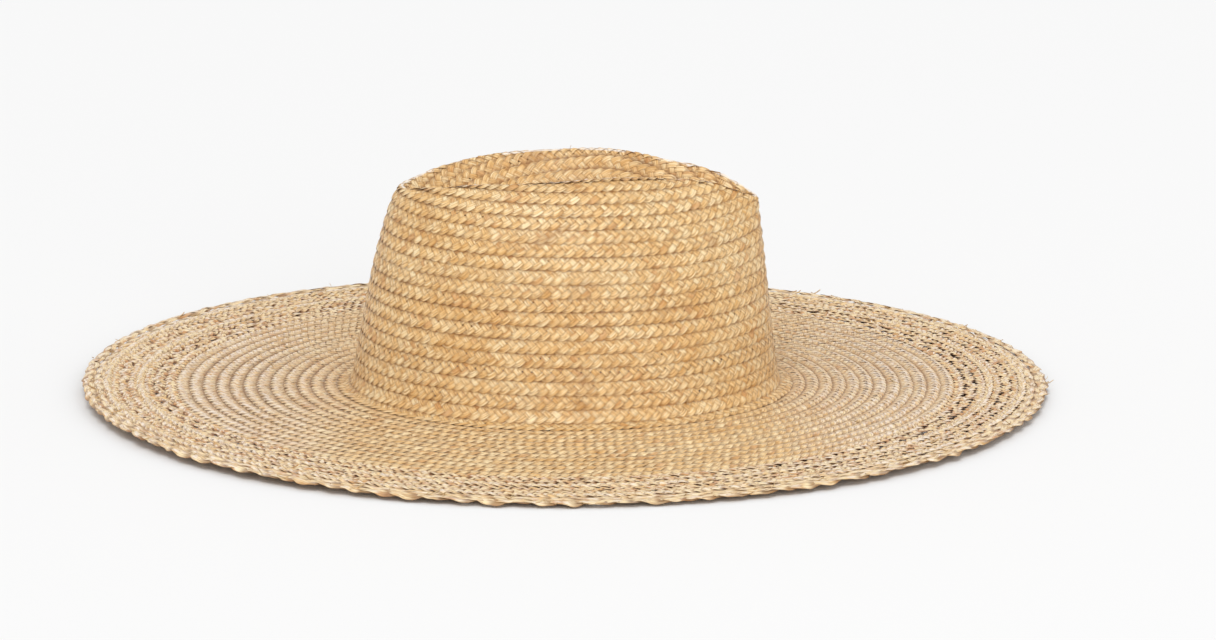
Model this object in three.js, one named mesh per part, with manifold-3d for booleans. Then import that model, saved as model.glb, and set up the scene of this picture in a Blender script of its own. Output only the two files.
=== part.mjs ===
// Wide-brimmed straw hat with a teardrop crown, sewn from rows of flat plaited raffia.
// Millimetres. X runs from the back of the hat to its front, Y across it and Z up.
// The hat stands on the underside of its brim, with the middle of the brim's outline at the origin.
import * as THREE from 'three';
import { mergeGeometries, mergeVertices } from 'three/addons/utils/BufferGeometryUtils.js';
import Module from 'manifold-3d';

// Straw
const WALL = 2; // thickness of the sewn straw
const ROW_PITCH = 6.45; // from one sewn row to the next
const ROW_RELIEF = 0.7; // how far the lapping edge of a row stands proud of the next row
const ROW_LEDGE = 0.5; // width of the step under a lapping edge
const SEAM_GAP = 0.3; // clearance between neighbouring pieces, square to their slanted edges
const SEAM_LAP = 1.5; // how far the top of a piece's edge reaches past its underside

// Crown, measured outside
const CROWN_LENGTH = 205; // front to back where the wall meets the brim
const CROWN_WIDTH = 164; // side to side there
const CROWN_FORWARD = 1.4; // how far the crown's middle sits in front of the brim's
const FOOT_BEND = 5; // size of the bend from wall to brim
const RIM_HEIGHT = 109.5; // highest point of the rim above the surface that the hat stands on
const RIM_FRONT = 91.5; // front point of the teardrop, from the crown's middle
const RIM_BACK = 78; // back of the teardrop, from the crown's middle
const RIM_WIDTH = 74; // width of the teardrop
const RIM_SOFTNESS = 1.6; // how far each side of the rim its fold is rounded
const DENT_DEPTH = 25; // from the highest point of the rim to the floor of the dent
const DENT_FLOOR_FRONT = 29; // front end of the floor line
const DENT_FLOOR_BACK = 22; // back end of the floor line

// Brim, measured outwards from the foot of the crown wall
const BRIM_ROWS = 13; // dense rows, of which the first is the crown's turned-out foot
const INNER_OPENWORK_WIDTH = 18.2;
const OUTER_OPENWORK_WIDTH = 15.7;
const EDGE_BRAID_WIDTH = 11.9;
const FLAT_REACH = 45; // the brim lies flat as far as this
const EDGE_LIFT = 5.5; // highest lift of the brim's edge

// Openwork and edge
const RIDGE_HEIGHT = 1; // raised, sewn outer edge of each openwork band
const RIDGE_WIDTH = 3;
const HOLE_LENGTH = 8; // along the band
const HOLE_WIDTH = 4; // across the band
const HOLE_SPACING = 48; // from hole to hole along one line
const HOLE_LINES = [0.28, 0.72]; // places of the two staggered lines, as shares of the band inside its ridge
const SCALLOP_PITCH = 16; // from point to point of the jagged edge
const SCALLOP_DEPTH = 1.6;

// Fineness of the facets
const COLUMNS = 40; // facets round the crown and the brim
const DENT_RINGS = [1, 0.72, 0.46, 0.25, 0.1]; // shares of the way from the rim to the dent's floor line
const BEND_RINGS = [1, 0.6, 0.25]; // shares of the bend from brim up to wall
const INNER_DENT_RINGS = [1, 0.72, 0.46, 0.22];
const INNER_WALL_RINGS = [0.85, 0.6, 0.3]; // shares of the wall's length
const INNER_BEND_RINGS = [1, 0.4];

// Colours and finish of the straw
const CROWN_COLOUR = '#dcb67a';
const BRIM_COLOUR = '#dec094';
const OPENWORK_COLOUR = '#e0c28f';
const EDGE_COLOUR = '#dfbe88';
const STRAW_ROUGHNESS = 0.72;

// Sections of the crown wall from its foot to its rim. The columns are shares of the lean from foot to rim.
const WALL_SECTIONS = [
  { rise: 0, back: 0, side: 0, front: 0 },
  { rise: 0.2, back: 0.14, side: 0.13, front: 0.22 },
  { rise: 0.4, back: 0.29, side: 0.25, front: 0.41 },
  { rise: 0.6, back: 0.45, side: 0.39, front: 0.6 },
  { rise: 0.75, back: 0.6, side: 0.52, front: 0.74 },
  { rise: 0.88, back: 0.75, side: 0.7, front: 0.88 },
  { rise: 0.96, back: 0.88, side: 0.86, front: 0.96 },
  { rise: 1, back: 1, side: 1, front: 1 },
];

// The teardrop rim from its back (-1) to its front (1). Fullness is a share of the half ellipse of the
// rim's width, and height is a share of the rim's highest point.
const RIM_SECTIONS = [
  { along: -1, fullness: 0.85, height: 0.9 },
  { along: -0.7, fullness: 1, height: 0.952 },
  { along: -0.4, fullness: 1.03, height: 0.98 },
  { along: -0.1, fullness: 0.98, height: 0.992 },
  { along: 0.2, fullness: 0.86, height: 1 },
  { along: 0.5, fullness: 0.64, height: 0.975 },
  { along: 0.75, fullness: 0.55, height: 0.943 },
  { along: 1, fullness: 0.5, height: 0.855 },
];

// Lift of the brim's edge round the hat, in eighths of a turn from the front by way of the far side.
const EDGE_WAVE = [
  { eighth: 0, lift: 0.42 },
  { eighth: 1, lift: 0.08 },
  { eighth: 2, lift: 0.02 },
  { eighth: 3, lift: 0.7 },
  { eighth: 4, lift: 0.93 },
  { eighth: 5, lift: 0.56 },
  { eighth: 6, lift: 0.12 },
  { eighth: 7, lift: 0.44 },
  { eighth: 8, lift: 0.42 },
];

const FULL_TURN = 2 * Math.PI;
const DENT_STEEPNESS = 2.2; // power of the dent's fall from rim to floor
const LIFT_POWER = 1.6; // power of the brim's rise towards its edge
const LENGTH_SAMPLES = 32; // steps for measuring along the wall

// Smooth value of one column of a table, at a place between its rows.
function readTable(table, key, column, at) {
  const last = table.length - 1;
  let row = 0;
  while (row < last - 1 && at > table[row + 1][key]) {
    row += 1;
  }
  const slope = (i) => {
    const low = table[Math.max(i - 1, 0)];
    const high = table[Math.min(i + 1, last)];
    return (high[column] - low[column]) / (high[key] - low[key]);
  };
  const span = table[row + 1][key] - table[row][key];
  const t = (at - table[row][key]) / span;
  const start = table[row][column];
  const end = table[row + 1][column];
  const bend = t * t * (3 - 2 * t);
  const lean = t * (1 - t) * ((1 - t) * slope(row) - t * slope(row + 1)) * span;
  return start + (end - start) * bend + lean;
}

const turnOf = (column, columns) => (FULL_TURN * column) / columns;

// Foot of the crown wall in plan, and the direction straight out from it.
function footPoint(turn) {
  const halfLength = CROWN_LENGTH / 2;
  const halfWidth = CROWN_WIDTH / 2;
  const point = new THREE.Vector2(CROWN_FORWARD + halfLength * Math.cos(turn), halfWidth * Math.sin(turn));
  const outward = new THREE.Vector2(Math.cos(turn) / halfLength, Math.sin(turn) / halfWidth).normalize();
  return { point, outward };
}

const BRIM_WIDTH = BRIM_ROWS * ROW_PITCH + INNER_OPENWORK_WIDTH + OUTER_OPENWORK_WIDTH + EDGE_BRAID_WIDTH;

// A point of the brim, at a reach out from the crown and a height above its own underside.
function brimPoint(turn, reach, height) {
  const { point, outward } = footPoint(turn);
  const plan = point.addScaledVector(outward, reach);
  const wave = readTable(EDGE_WAVE, 'eighth', 'lift', (8 * turn) / FULL_TURN);
  const rise = Math.max(reach - FLAT_REACH, 0) / (BRIM_WIDTH - FLAT_REACH);
  const back = (CROWN_FORWARD * reach) / BRIM_WIDTH;
  return new THREE.Vector3(plan.x - back, plan.y, height + EDGE_LIFT * wave * rise ** LIFT_POWER);
}

// A point of the teardrop rim.
function rimPoint(turn) {
  const along = Math.cos(turn);
  const middle = CROWN_FORWARD + (RIM_FRONT - RIM_BACK) / 2;
  const halfLength = (RIM_FRONT + RIM_BACK) / 2;
  const halfWidth = (RIM_WIDTH / 2) * readTable(RIM_SECTIONS, 'along', 'fullness', along);
  const height = RIM_HEIGHT * readTable(RIM_SECTIONS, 'along', 'height', along);
  return new THREE.Vector3(middle + halfLength * along, halfWidth * Math.sin(turn), height);
}

// A point of the crown wall, at a share of its rise from foot to rim.
function wallPoint(turn, rise) {
  const { point } = footPoint(turn);
  const rim = rimPoint(turn);
  const frontShare = Math.max(Math.cos(turn), 0) ** 2;
  const backShare = Math.max(-Math.cos(turn), 0) ** 2;
  const sideShare = Math.sin(turn) ** 2;
  const lean =
    frontShare * readTable(WALL_SECTIONS, 'rise', 'front', rise) +
    backShare * readTable(WALL_SECTIONS, 'rise', 'back', rise) +
    sideShare * readTable(WALL_SECTIONS, 'rise', 'side', rise);
  return new THREE.Vector3(
    THREE.MathUtils.lerp(point.x, rim.x, lean),
    THREE.MathUtils.lerp(point.y, rim.y, lean),
    THREE.MathUtils.lerp(WALL, rim.z, rise),
  );
}

// Share of the wall's rise at the top of the bend from brim to wall.
const bendRise = (turn) => FOOT_BEND / (rimPoint(turn).z - WALL);

// A point of the bend from the flat foot (0) up to the wall (1).
function bendPoint(turn, share) {
  const curve = new THREE.QuadraticBezierCurve3(
    brimPoint(turn, FOOT_BEND, WALL),
    brimPoint(turn, 0, WALL),
    wallPoint(turn, bendRise(turn)),
  );
  return curve.getPoint(share);
}

// A point of the dent, from the rim (0) down to the floor line (1).
function dentPoint(turn, inward) {
  const rim = rimPoint(turn);
  const middle = CROWN_FORWARD + (DENT_FLOOR_FRONT - DENT_FLOOR_BACK) / 2;
  const halfLength = (DENT_FLOOR_FRONT + DENT_FLOOR_BACK) / 2;
  const floor = new THREE.Vector3(middle + halfLength * Math.cos(turn), 0, RIM_HEIGHT - DENT_DEPTH);
  const fall = 1 - (1 - inward) ** DENT_STEEPNESS;
  return new THREE.Vector3(
    THREE.MathUtils.lerp(rim.x, floor.x, inward),
    THREE.MathUtils.lerp(rim.y, floor.y, inward),
    THREE.MathUtils.lerp(rim.z, floor.z, fall),
  );
}

// Rises and lengths along one meridian of the wall, from the top of the bend to the rim.
function measureWall(turn) {
  const steps = [{ rise: bendRise(turn), length: 0 }];
  let before = wallPoint(turn, steps[0].rise);
  for (let step = 1; step <= LENGTH_SAMPLES; step += 1) {
    const rise = THREE.MathUtils.lerp(steps[0].rise, 1, step / LENGTH_SAMPLES);
    const here = wallPoint(turn, rise);
    steps.push({ rise, length: steps[step - 1].length + here.distanceTo(before) });
    before = here;
  }
  return steps;
}

// A point of the wall at a length along its meridian, from the top of the bend.
function wallPointAtLength(turn, length) {
  const steps = measureWall(turn);
  let step = 1;
  while (step < LENGTH_SAMPLES && steps[step].length < length) {
    step += 1;
  }
  const span = steps[step].length - steps[step - 1].length;
  const share = (length - steps[step - 1].length) / span;
  return wallPoint(turn, THREE.MathUtils.lerp(steps[step - 1].rise, steps[step].rise, share));
}

const fullWallLength = (turn) => measureWall(turn)[LENGTH_SAMPLES].length;

// Whole rows that lie on the wall all the way round, below the lowest stretch of the rim.
function countWallRows() {
  const lengths = Array.from({ length: COLUMNS }, (_, column) => fullWallLength(turnOf(column, COLUMNS)));
  return Math.floor((Math.min(...lengths) - RIM_SOFTNESS) / ROW_PITCH);
}

// One ring of points round the hat.
const ring = (pointAt, columns = COLUMNS) =>
  Array.from({ length: columns }, (_, column) => pointAt(turnOf(column, columns)));

// Rings of the crown's smooth outer skin, from the floor of the dent out over the rim and down to the
// foot, each with how far its straw stands proud.
function crownSkin(dentShares, wallPlaces, bendShares) {
  const rimStep = (turn) => RIM_SOFTNESS / rimPoint(turn).distanceTo(dentPoint(turn, 1));
  return [
    ...dentShares.map((inward) => ({ points: ring((turn) => dentPoint(turn, inward)), proud: 0 })),
    { points: ring((turn) => dentPoint(turn, rimStep(turn))), proud: 0 },
    { points: ring((turn) => wallPointAtLength(turn, fullWallLength(turn) - RIM_SOFTNESS)), proud: 0 },
    ...wallPlaces.map(({ lengthAt, proud }) => ({
      points: ring((turn) => wallPointAtLength(turn, lengthAt(turn))),
      proud,
    })),
    ...bendShares.map((share) => ({ points: ring((turn) => bendPoint(turn, share)), proud: 0 })),
  ];
}

// Places on the wall of the lapping rows, from the top row down.
function rowPlaces() {
  const rows = countWallRows();
  const rowsLength = rows * ROW_PITCH;
  const halfwayToRim = (turn) => (rowsLength + fullWallLength(turn) - RIM_SOFTNESS) / 2;
  const places = [{ lengthAt: halfwayToRim, proud: 0 }];
  for (let row = rows; row >= 1; row -= 1) {
    places.push({ lengthAt: () => row * ROW_PITCH, proud: ROW_RELIEF });
    places.push({ lengthAt: () => row * ROW_PITCH - ROW_LEDGE, proud: 0 });
  }
  return places;
}

// Mean direction of the facets that meet at each point of a skin, shared where its points fold together.
function meanNormals(rings) {
  const sums = new Map();
  const keyOf = (point) => point.toArray().map((value) => Math.round(value * 1000)).join(' ');
  for (let i = 0; i + 1 < rings.length; i += 1) {
    const columns = rings[i].length;
    for (let j = 0; j < columns; j += 1) {
      const next = (j + 1) % columns;
      const corners = [rings[i][j], rings[i + 1][j], rings[i + 1][next], rings[i][next]];
      const across = new THREE.Vector3().subVectors(corners[2], corners[0]);
      const back = new THREE.Vector3().subVectors(corners[3], corners[1]);
      const facet = across.cross(back).normalize();
      corners.forEach((corner) => {
        const sum = sums.get(keyOf(corner)) ?? { normal: new THREE.Vector3(), facets: 0 };
        sum.normal.add(facet);
        sum.facets += 1;
        sums.set(keyOf(corner), sum);
      });
    }
  }
  return rings.map((points) =>
    points.map((point) => {
      const { normal, facets } = sums.get(keyOf(point));
      return normal.clone().divideScalar(facets);
    }),
  );
}

// A skin moved along its normals, with each fold mitred so that it keeps its distance from both facets.
function offsetSkin(rings, distances) {
  const normals = meanNormals(rings);
  return rings.map((points, i) =>
    points.map((point, j) => {
      const normal = normals[i][j];
      return point.clone().addScaledVector(normal, distances[i] / normal.lengthSq());
    }),
  );
}

// A closed body through a ladder of rings. Its first and last rings fold flat onto a line, or else the
// ladder runs round a cross-section and closes on its first ring.
function bodyOfRings(rings, closesOnFirst) {
  const columns = rings[0].length;
  const positions = rings.flat().flatMap((point) => point.toArray());
  const ladders = closesOnFirst ? rings.length : rings.length - 1;
  const index = [];
  for (let i = 0; i < ladders; i += 1) {
    const here = i * columns;
    const there = ((i + 1) % rings.length) * columns;
    for (let j = 0; j < columns; j += 1) {
      const next = (j + 1) % columns;
      index.push(here + j, there + j, there + next);
      index.push(here + j, there + next, here + next);
    }
  }
  const geometry = new THREE.BufferGeometry();
  geometry.setAttribute('position', new THREE.Float32BufferAttribute(positions, 3));
  geometry.setIndex(index);
  const merged = mergeVertices(geometry, 1e-3);
  merged.computeVertexNormals();
  return merged;
}

// Crown: one hollow shell with the dent in its tip and its lowest row turned out into the brim.
function crownGeometry() {
  const outerSkin = crownSkin(DENT_RINGS, rowPlaces(), BEND_RINGS);
  const footRing = ring((turn) => brimPoint(turn, ROW_PITCH, WALL));
  const outerRings = [...outerSkin.map((each) => each.points), footRing];
  const outerProud = [...outerSkin.map((each) => each.proud), ROW_RELIEF];
  const innerWall = INNER_WALL_RINGS.map((share) => ({
    lengthAt: (turn) => share * fullWallLength(turn),
    proud: 0,
  }));
  const innerSkin = crownSkin(INNER_DENT_RINGS, innerWall, INNER_BEND_RINGS);
  const innerFoot = ring((turn) => brimPoint(turn, ROW_PITCH - SEAM_LAP, WALL));
  const innerRings = [...innerSkin.map((each) => each.points), innerFoot];
  const outer = offsetSkin(outerRings, outerProud);
  const inner = offsetSkin(innerRings, innerRings.map(() => -WALL));
  return bodyOfRings([...outer, ...inner.reverse()], false);
}

// A band of the brim from its cross-section: the top runs outwards, and the underside runs back. Each
// place is a reach out from the crown and a height above the underside.
function bandGeometry(top, undersideReaches, columns = COLUMNS, reachShift = () => 0) {
  const section = [...top, ...undersideReaches.map((reach) => ({ reach, height: 0 }))];
  const rings = section.map(({ reach, height, shifts }) =>
    ring((turn) => brimPoint(turn, reach + (shifts ? reachShift(turn) : 0), height), columns),
  );
  return bodyOfRings(rings, true);
}

// Gap between two pieces measured level, from the gap square to their slanted edges.
const LEVEL_GAP = SEAM_GAP * Math.hypot(1, SEAM_LAP / WALL);

// Dense brim: lapping rows on top, smooth below.
function brimGeometry(inner, outer) {
  const top = [];
  for (let row = 1; row < BRIM_ROWS; row += 1) {
    const start = row * ROW_PITCH;
    const rowInner = row === 1 ? inner + LEVEL_GAP : start + ROW_LEDGE;
    top.push({ reach: rowInner, height: WALL });
    top.push({ reach: start + ROW_PITCH, height: WALL + ROW_RELIEF });
  }
  return bandGeometry(top, [outer - SEAM_LAP, FLAT_REACH, inner + LEVEL_GAP - SEAM_LAP]);
}

// A prism that cuts one eye-shaped hole, standing upright through the brim.
function holeCutter(turn, reach) {
  const halfLength = HOLE_LENGTH / 2;
  const halfWidth = HOLE_WIDTH / 2;
  const eye = new THREE.Shape([
    new THREE.Vector2(-halfLength, 0),
    new THREE.Vector2(-halfLength / 3, -halfWidth),
    new THREE.Vector2(halfLength / 3, -halfWidth),
    new THREE.Vector2(halfLength, 0),
    new THREE.Vector2(halfLength / 3, halfWidth),
    new THREE.Vector2(-halfLength / 3, halfWidth),
  ]);
  const depth = 3 * (WALL + RIDGE_HEIGHT);
  const prism = new THREE.ExtrudeGeometry(eye, { depth, bevelEnabled: false });
  const place = brimPoint(turn, reach, WALL / 2);
  const { outward } = footPoint(turn);
  prism.translate(0, 0, -depth / 2);
  prism.rotateZ(Math.atan2(outward.y, outward.x) + Math.PI / 2);
  prism.translate(place.x, place.y, place.z);
  return prism;
}

// Two staggered lines of holes along an openwork band.
function holeCutters(inner, outer) {
  const clear = outer - RIDGE_WIDTH - inner;
  const mean = (CROWN_LENGTH + CROWN_WIDTH) / 4 + (inner + outer) / 2;
  const count = Math.max(Math.round((FULL_TURN * mean) / HOLE_SPACING), 3);
  const cutters = [];
  HOLE_LINES.forEach((share, line) => {
    for (let hole = 0; hole < count; hole += 1) {
      cutters.push(holeCutter(turnOf(hole + line / 2, count), inner + clear * share));
    }
  });
  return mergeGeometries(cutters);
}

const wasm = await Module();
wasm.setup();

function toSolid(geometry) {
  const bare = geometry.clone();
  bare.deleteAttribute('normal');
  bare.deleteAttribute('uv');
  const merged = mergeVertices(bare, 1e-3);
  const vertProperties = new Float32Array(merged.attributes.position.array);
  const triVerts = new Uint32Array(merged.index.array);
  return new wasm.Manifold(new wasm.Mesh({ numProp: 3, vertProperties, triVerts }));
}

function toGeometry(solid) {
  const { vertProperties, triVerts } = solid.getMesh();
  const geometry = new THREE.BufferGeometry();
  geometry.setAttribute('position', new THREE.BufferAttribute(vertProperties, 3));
  geometry.setIndex(new THREE.BufferAttribute(triVerts, 1));
  geometry.computeVertexNormals();
  return geometry;
}

// Openwork band: pierced straw with a raised ridge along its outer edge.
function openworkGeometry(inner, outer) {
  const top = [
    { reach: inner + LEVEL_GAP, height: WALL },
    { reach: outer - RIDGE_WIDTH, height: WALL },
    { reach: outer - RIDGE_WIDTH / 2, height: WALL + RIDGE_HEIGHT },
    { reach: outer, height: WALL },
  ];
  const band = bandGeometry(top, [outer - SEAM_LAP, inner + LEVEL_GAP - SEAM_LAP]);
  return toGeometry(toSolid(band).subtract(toSolid(holeCutters(inner, outer))));
}

// Edge braid: its outer edge runs in small points, one for every two columns. There are as many in each
// quarter of the hat, so that its four ends all lie on a point.
function edgeBraidGeometry(inner, outer) {
  const mean = (CROWN_LENGTH + CROWN_WIDTH) / 4 + outer;
  const points = 4 * Math.round((FULL_TURN * mean) / SCALLOP_PITCH / 4);
  const columns = 2 * points;
  const shift = (turn) => -SCALLOP_DEPTH * Math.sin((points * turn) / 2) ** 2;
  const top = [
    { reach: inner + LEVEL_GAP, height: WALL },
    { reach: (inner + outer) / 2, height: WALL + ROW_RELIEF },
    { reach: outer, height: WALL, shifts: true },
  ];
  const section = [...top, { reach: outer, height: 0, shifts: true }];
  return bandGeometry(section, [inner + LEVEL_GAP - SEAM_LAP], columns, shift);
}

// The pieces, from the crown outwards
const footEdge = ROW_PITCH;
const brimEdge = BRIM_ROWS * ROW_PITCH;
const innerOpenworkEdge = brimEdge + INNER_OPENWORK_WIDTH;
const outerOpenworkEdge = innerOpenworkEdge + OUTER_OPENWORK_WIDTH;

const hat = new THREE.Group();
const pieces = [
  { name: 'crown', colour: CROWN_COLOUR, geometry: crownGeometry() },
  { name: 'brim', colour: BRIM_COLOUR, geometry: brimGeometry(footEdge, brimEdge) },
  { name: 'openwork_inner', colour: OPENWORK_COLOUR, geometry: openworkGeometry(brimEdge, innerOpenworkEdge) },
  {
    name: 'openwork_outer',
    colour: OPENWORK_COLOUR,
    geometry: openworkGeometry(innerOpenworkEdge, outerOpenworkEdge),
  },
  { name: 'edge_braid', colour: EDGE_COLOUR, geometry: edgeBraidGeometry(outerOpenworkEdge, BRIM_WIDTH) },
];
for (const { name, colour, geometry } of pieces) {
  const material = new THREE.MeshStandardMaterial({ color: colour, roughness: STRAW_ROUGHNESS, metalness: 0 });
  const mesh = new THREE.Mesh(geometry, material);
  mesh.name = name;
  hat.add(mesh);
}

export default hat;
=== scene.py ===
import math

import bpy
import numpy as np
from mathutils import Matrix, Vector


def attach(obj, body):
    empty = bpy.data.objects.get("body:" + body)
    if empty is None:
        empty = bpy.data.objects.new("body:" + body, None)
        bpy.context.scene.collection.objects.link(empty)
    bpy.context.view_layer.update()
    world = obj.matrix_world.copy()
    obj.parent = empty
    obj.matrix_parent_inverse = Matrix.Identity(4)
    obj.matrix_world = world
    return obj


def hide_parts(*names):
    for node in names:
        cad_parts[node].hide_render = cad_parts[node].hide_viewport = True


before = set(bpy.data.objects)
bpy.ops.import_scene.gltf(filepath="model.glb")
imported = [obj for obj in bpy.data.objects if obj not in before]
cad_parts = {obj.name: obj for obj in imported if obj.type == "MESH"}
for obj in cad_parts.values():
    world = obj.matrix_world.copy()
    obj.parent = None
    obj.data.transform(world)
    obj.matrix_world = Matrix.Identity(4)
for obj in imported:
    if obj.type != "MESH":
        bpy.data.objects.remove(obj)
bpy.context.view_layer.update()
MM = 0.001

# The hat's sizes, as in the part's source
WALL = 2 * MM
ROW_PITCH = 6.45 * MM
CROWN_LENGTH = 205 * MM
CROWN_WIDTH = 164 * MM
CROWN_FORWARD = 1.4 * MM
FOOT_BEND = 5 * MM
RIM_HEIGHT = 109.5 * MM
RIM_FRONT = 91.5 * MM
RIM_BACK = 78 * MM
RIM_WIDTH = 74 * MM
DENT_DEPTH = 25 * MM
DENT_FLOOR_FRONT = 29 * MM
DENT_FLOOR_BACK = 22 * MM
DENT_STEEPNESS = 2.2
BRIM_ROWS = 13
INNER_OPENWORK_WIDTH = 18.2 * MM
OUTER_OPENWORK_WIDTH = 15.7 * MM
EDGE_BRAID_WIDTH = 11.9 * MM
FLAT_REACH = 45 * MM
EDGE_LIFT = 5.5 * MM
LIFT_POWER = 1.6
DENSE_WIDTH = BRIM_ROWS * ROW_PITCH
BRIM_WIDTH = DENSE_WIDTH + INNER_OPENWORK_WIDTH + OUTER_OPENWORK_WIDTH + EDGE_BRAID_WIDTH

# Shares of the lean from foot to rim: rise, back, side, front
WALL_SECTIONS = [
    (0, 0, 0, 0),
    (0.2, 0.14, 0.13, 0.22),
    (0.4, 0.29, 0.25, 0.41),
    (0.6, 0.45, 0.39, 0.6),
    (0.75, 0.6, 0.52, 0.74),
    (0.88, 0.75, 0.7, 0.88),
    (0.96, 0.88, 0.86, 0.96),
    (1, 1, 1, 1),
]

# The teardrop rim: place from back to front, fullness, height
RIM_SECTIONS = [
    (-1, 0.85, 0.9),
    (-0.7, 1, 0.952),
    (-0.4, 1.03, 0.98),
    (-0.1, 0.98, 0.992),
    (0.2, 0.86, 1),
    (0.5, 0.64, 0.975),
    (0.75, 0.55, 0.943),
    (1, 0.5, 0.855),
]

# Lift of the brim's edge, in eighths of a turn from the front by way of the far side
EDGE_WAVE = [
    (0, 0.42),
    (1, 0.08),
    (2, 0.02),
    (3, 0.7),
    (4, 0.93),
    (5, 0.56),
    (6, 0.12),
    (7, 0.44),
    (8, 0.42),
]

# Skin that the plaits follow
MERIDIANS = 720
DENT_STEPS = 49  # steps of each meridian down the dent, the wall, the bend at the foot and the brim
WALL_STEPS = 109
BEND_STEPS = 7
BRIM_STEPS = 89
SKIN_COLUMNS = 360
SKIN_STEP = 1.5 * MM
SKIN_MARGIN = 0.8 * ROW_PITCH  # the skin goes on this far past the brim's edge
FOLD_SOFTNESS = 1.6 * MM
SOFT_STEPS = 4  # the folds are softened over this many steps of the skin to either side
LEVEL_WALL = 93 * MM  # the rows lie level this far up the wall


def read_table(table, column, at):
    """Smooth value of a column of a table, at places between its rows."""
    rows = np.array(table, float)
    keys, values = rows[:, 0], rows[:, column]
    slopes = np.gradient(values)
    slopes[1:-1] = (values[2:] - values[:-2]) / (keys[2:] - keys[:-2])
    slopes[0] = (values[1] - values[0]) / (keys[1] - keys[0])
    slopes[-1] = (values[-1] - values[-2]) / (keys[-1] - keys[-2])
    row = np.clip(np.searchsorted(keys, at, side="left") - 1, 0, len(keys) - 2)
    span = keys[row + 1] - keys[row]
    t = (at - keys[row]) / span
    bend = t * t * (3 - 2 * t)
    lean = t * (1 - t) * ((1 - t) * slopes[row] - t * slopes[row + 1]) * span
    return values[row] + (values[row + 1] - values[row]) * bend + lean


def foot_points(turn):
    """Foot of the crown wall in plan, and the direction straight out from it."""
    half = np.array([CROWN_LENGTH / 2, CROWN_WIDTH / 2])
    round_ = np.stack([np.cos(turn), np.sin(turn)], -1)
    point = round_ * half + [CROWN_FORWARD, 0]
    outward = round_ / half
    return point, outward / np.linalg.norm(outward, axis=-1, keepdims=True)


def brim_points(turn, reach):
    """Top of the brim at a reach out from the crown."""
    point, outward = foot_points(turn)
    plan = point + outward * reach[..., None]
    wave = read_table(EDGE_WAVE, 1, 8 * turn / math.tau)
    rise = np.maximum(reach - FLAT_REACH, 0) / (BRIM_WIDTH - FLAT_REACH)
    x = plan[..., 0] - CROWN_FORWARD * reach / BRIM_WIDTH
    return np.stack([x, plan[..., 1], WALL + EDGE_LIFT * wave * rise**LIFT_POWER], -1)


def rim_points(turn):
    """Fold of the teardrop rim."""
    along = np.cos(turn)
    middle = CROWN_FORWARD + (RIM_FRONT - RIM_BACK) / 2
    half_width = RIM_WIDTH / 2 * read_table(RIM_SECTIONS, 1, along)
    x = middle + (RIM_FRONT + RIM_BACK) / 2 * along
    z = RIM_HEIGHT * read_table(RIM_SECTIONS, 2, along)
    return np.stack([x, half_width * np.sin(turn), z], -1)


def wall_points(turn, rise):
    """Outside of the crown wall, at a share of its rise from foot to rim."""
    foot, _ = foot_points(turn)
    rim = rim_points(turn)
    shares = [np.maximum(-np.cos(turn), 0) ** 2, np.sin(turn) ** 2, np.maximum(np.cos(turn), 0) ** 2]
    lean = sum(share * read_table(WALL_SECTIONS, i + 1, rise) for i, share in enumerate(shares))
    plan = foot + (rim[..., :2] - foot) * lean[..., None]
    z = WALL + (rim[..., 2] - WALL) * rise
    return np.concatenate([plan, z[..., None]], -1)


def dent_points(turn, inward):
    """Dent in the crown's tip, from the rim (0) down to the floor line (1)."""
    rim = rim_points(turn)
    middle = CROWN_FORWARD + (DENT_FLOOR_FRONT - DENT_FLOOR_BACK) / 2
    floor_x = middle + (DENT_FLOOR_FRONT + DENT_FLOOR_BACK) / 2 * np.cos(turn)
    fall = 1 - (1 - inward) ** DENT_STEEPNESS
    x = rim[..., 0] + (floor_x - rim[..., 0]) * inward
    y = rim[..., 1] * (1 - inward)
    z = rim[..., 2] + (RIM_HEIGHT - DENT_DEPTH - rim[..., 2]) * fall
    return np.stack([x, y, z], -1)


def bend_points(turn, share):
    """Bend from the flat foot (0) up to the wall (1)."""
    start = brim_points(turn, np.full_like(turn, FOOT_BEND))
    corner = brim_points(turn, np.zeros_like(turn))
    end = wall_points(turn, FOOT_BEND / (rim_points(turn)[..., 2] - WALL))
    t = share[..., None]
    return start * (1 - t) ** 2 + corner * 2 * t * (1 - t) + end * t**2


def meridian_lines():
    """Every meridian of the hat's top, from the dent's floor line out to the brim's edge."""
    turn = np.arange(MERIDIANS + 1) * math.tau / MERIDIANS
    turn[-1] = 0
    bend_top = FOOT_BEND / (rim_points(turn)[:, 2] - WALL)
    parts = [dent_points(turn, np.full_like(turn, share)) for share in np.linspace(1, 0, DENT_STEPS + 1)]
    for share in np.linspace(0, 1, WALL_STEPS + 1)[1:]:
        parts.append(wall_points(turn, 1 + (bend_top - 1) * share))
    bends = np.linspace(1, 0, BEND_STEPS + 1)[1:]
    parts += [bend_points(turn, np.full_like(turn, share)) for share in bends]
    outwards = np.linspace(FOOT_BEND, BRIM_WIDTH + ROW_PITCH, BRIM_STEPS + 1)[1:]
    parts += [brim_points(turn, np.full_like(turn, reach)) for reach in outwards]
    return np.stack(parts, 1)


def resample(line, places, at):
    """Points of a line at the given places, from the places that its own points have."""
    return np.stack([np.interp(at, places, line[:, axis]) for axis in range(3)], -1)


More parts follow.
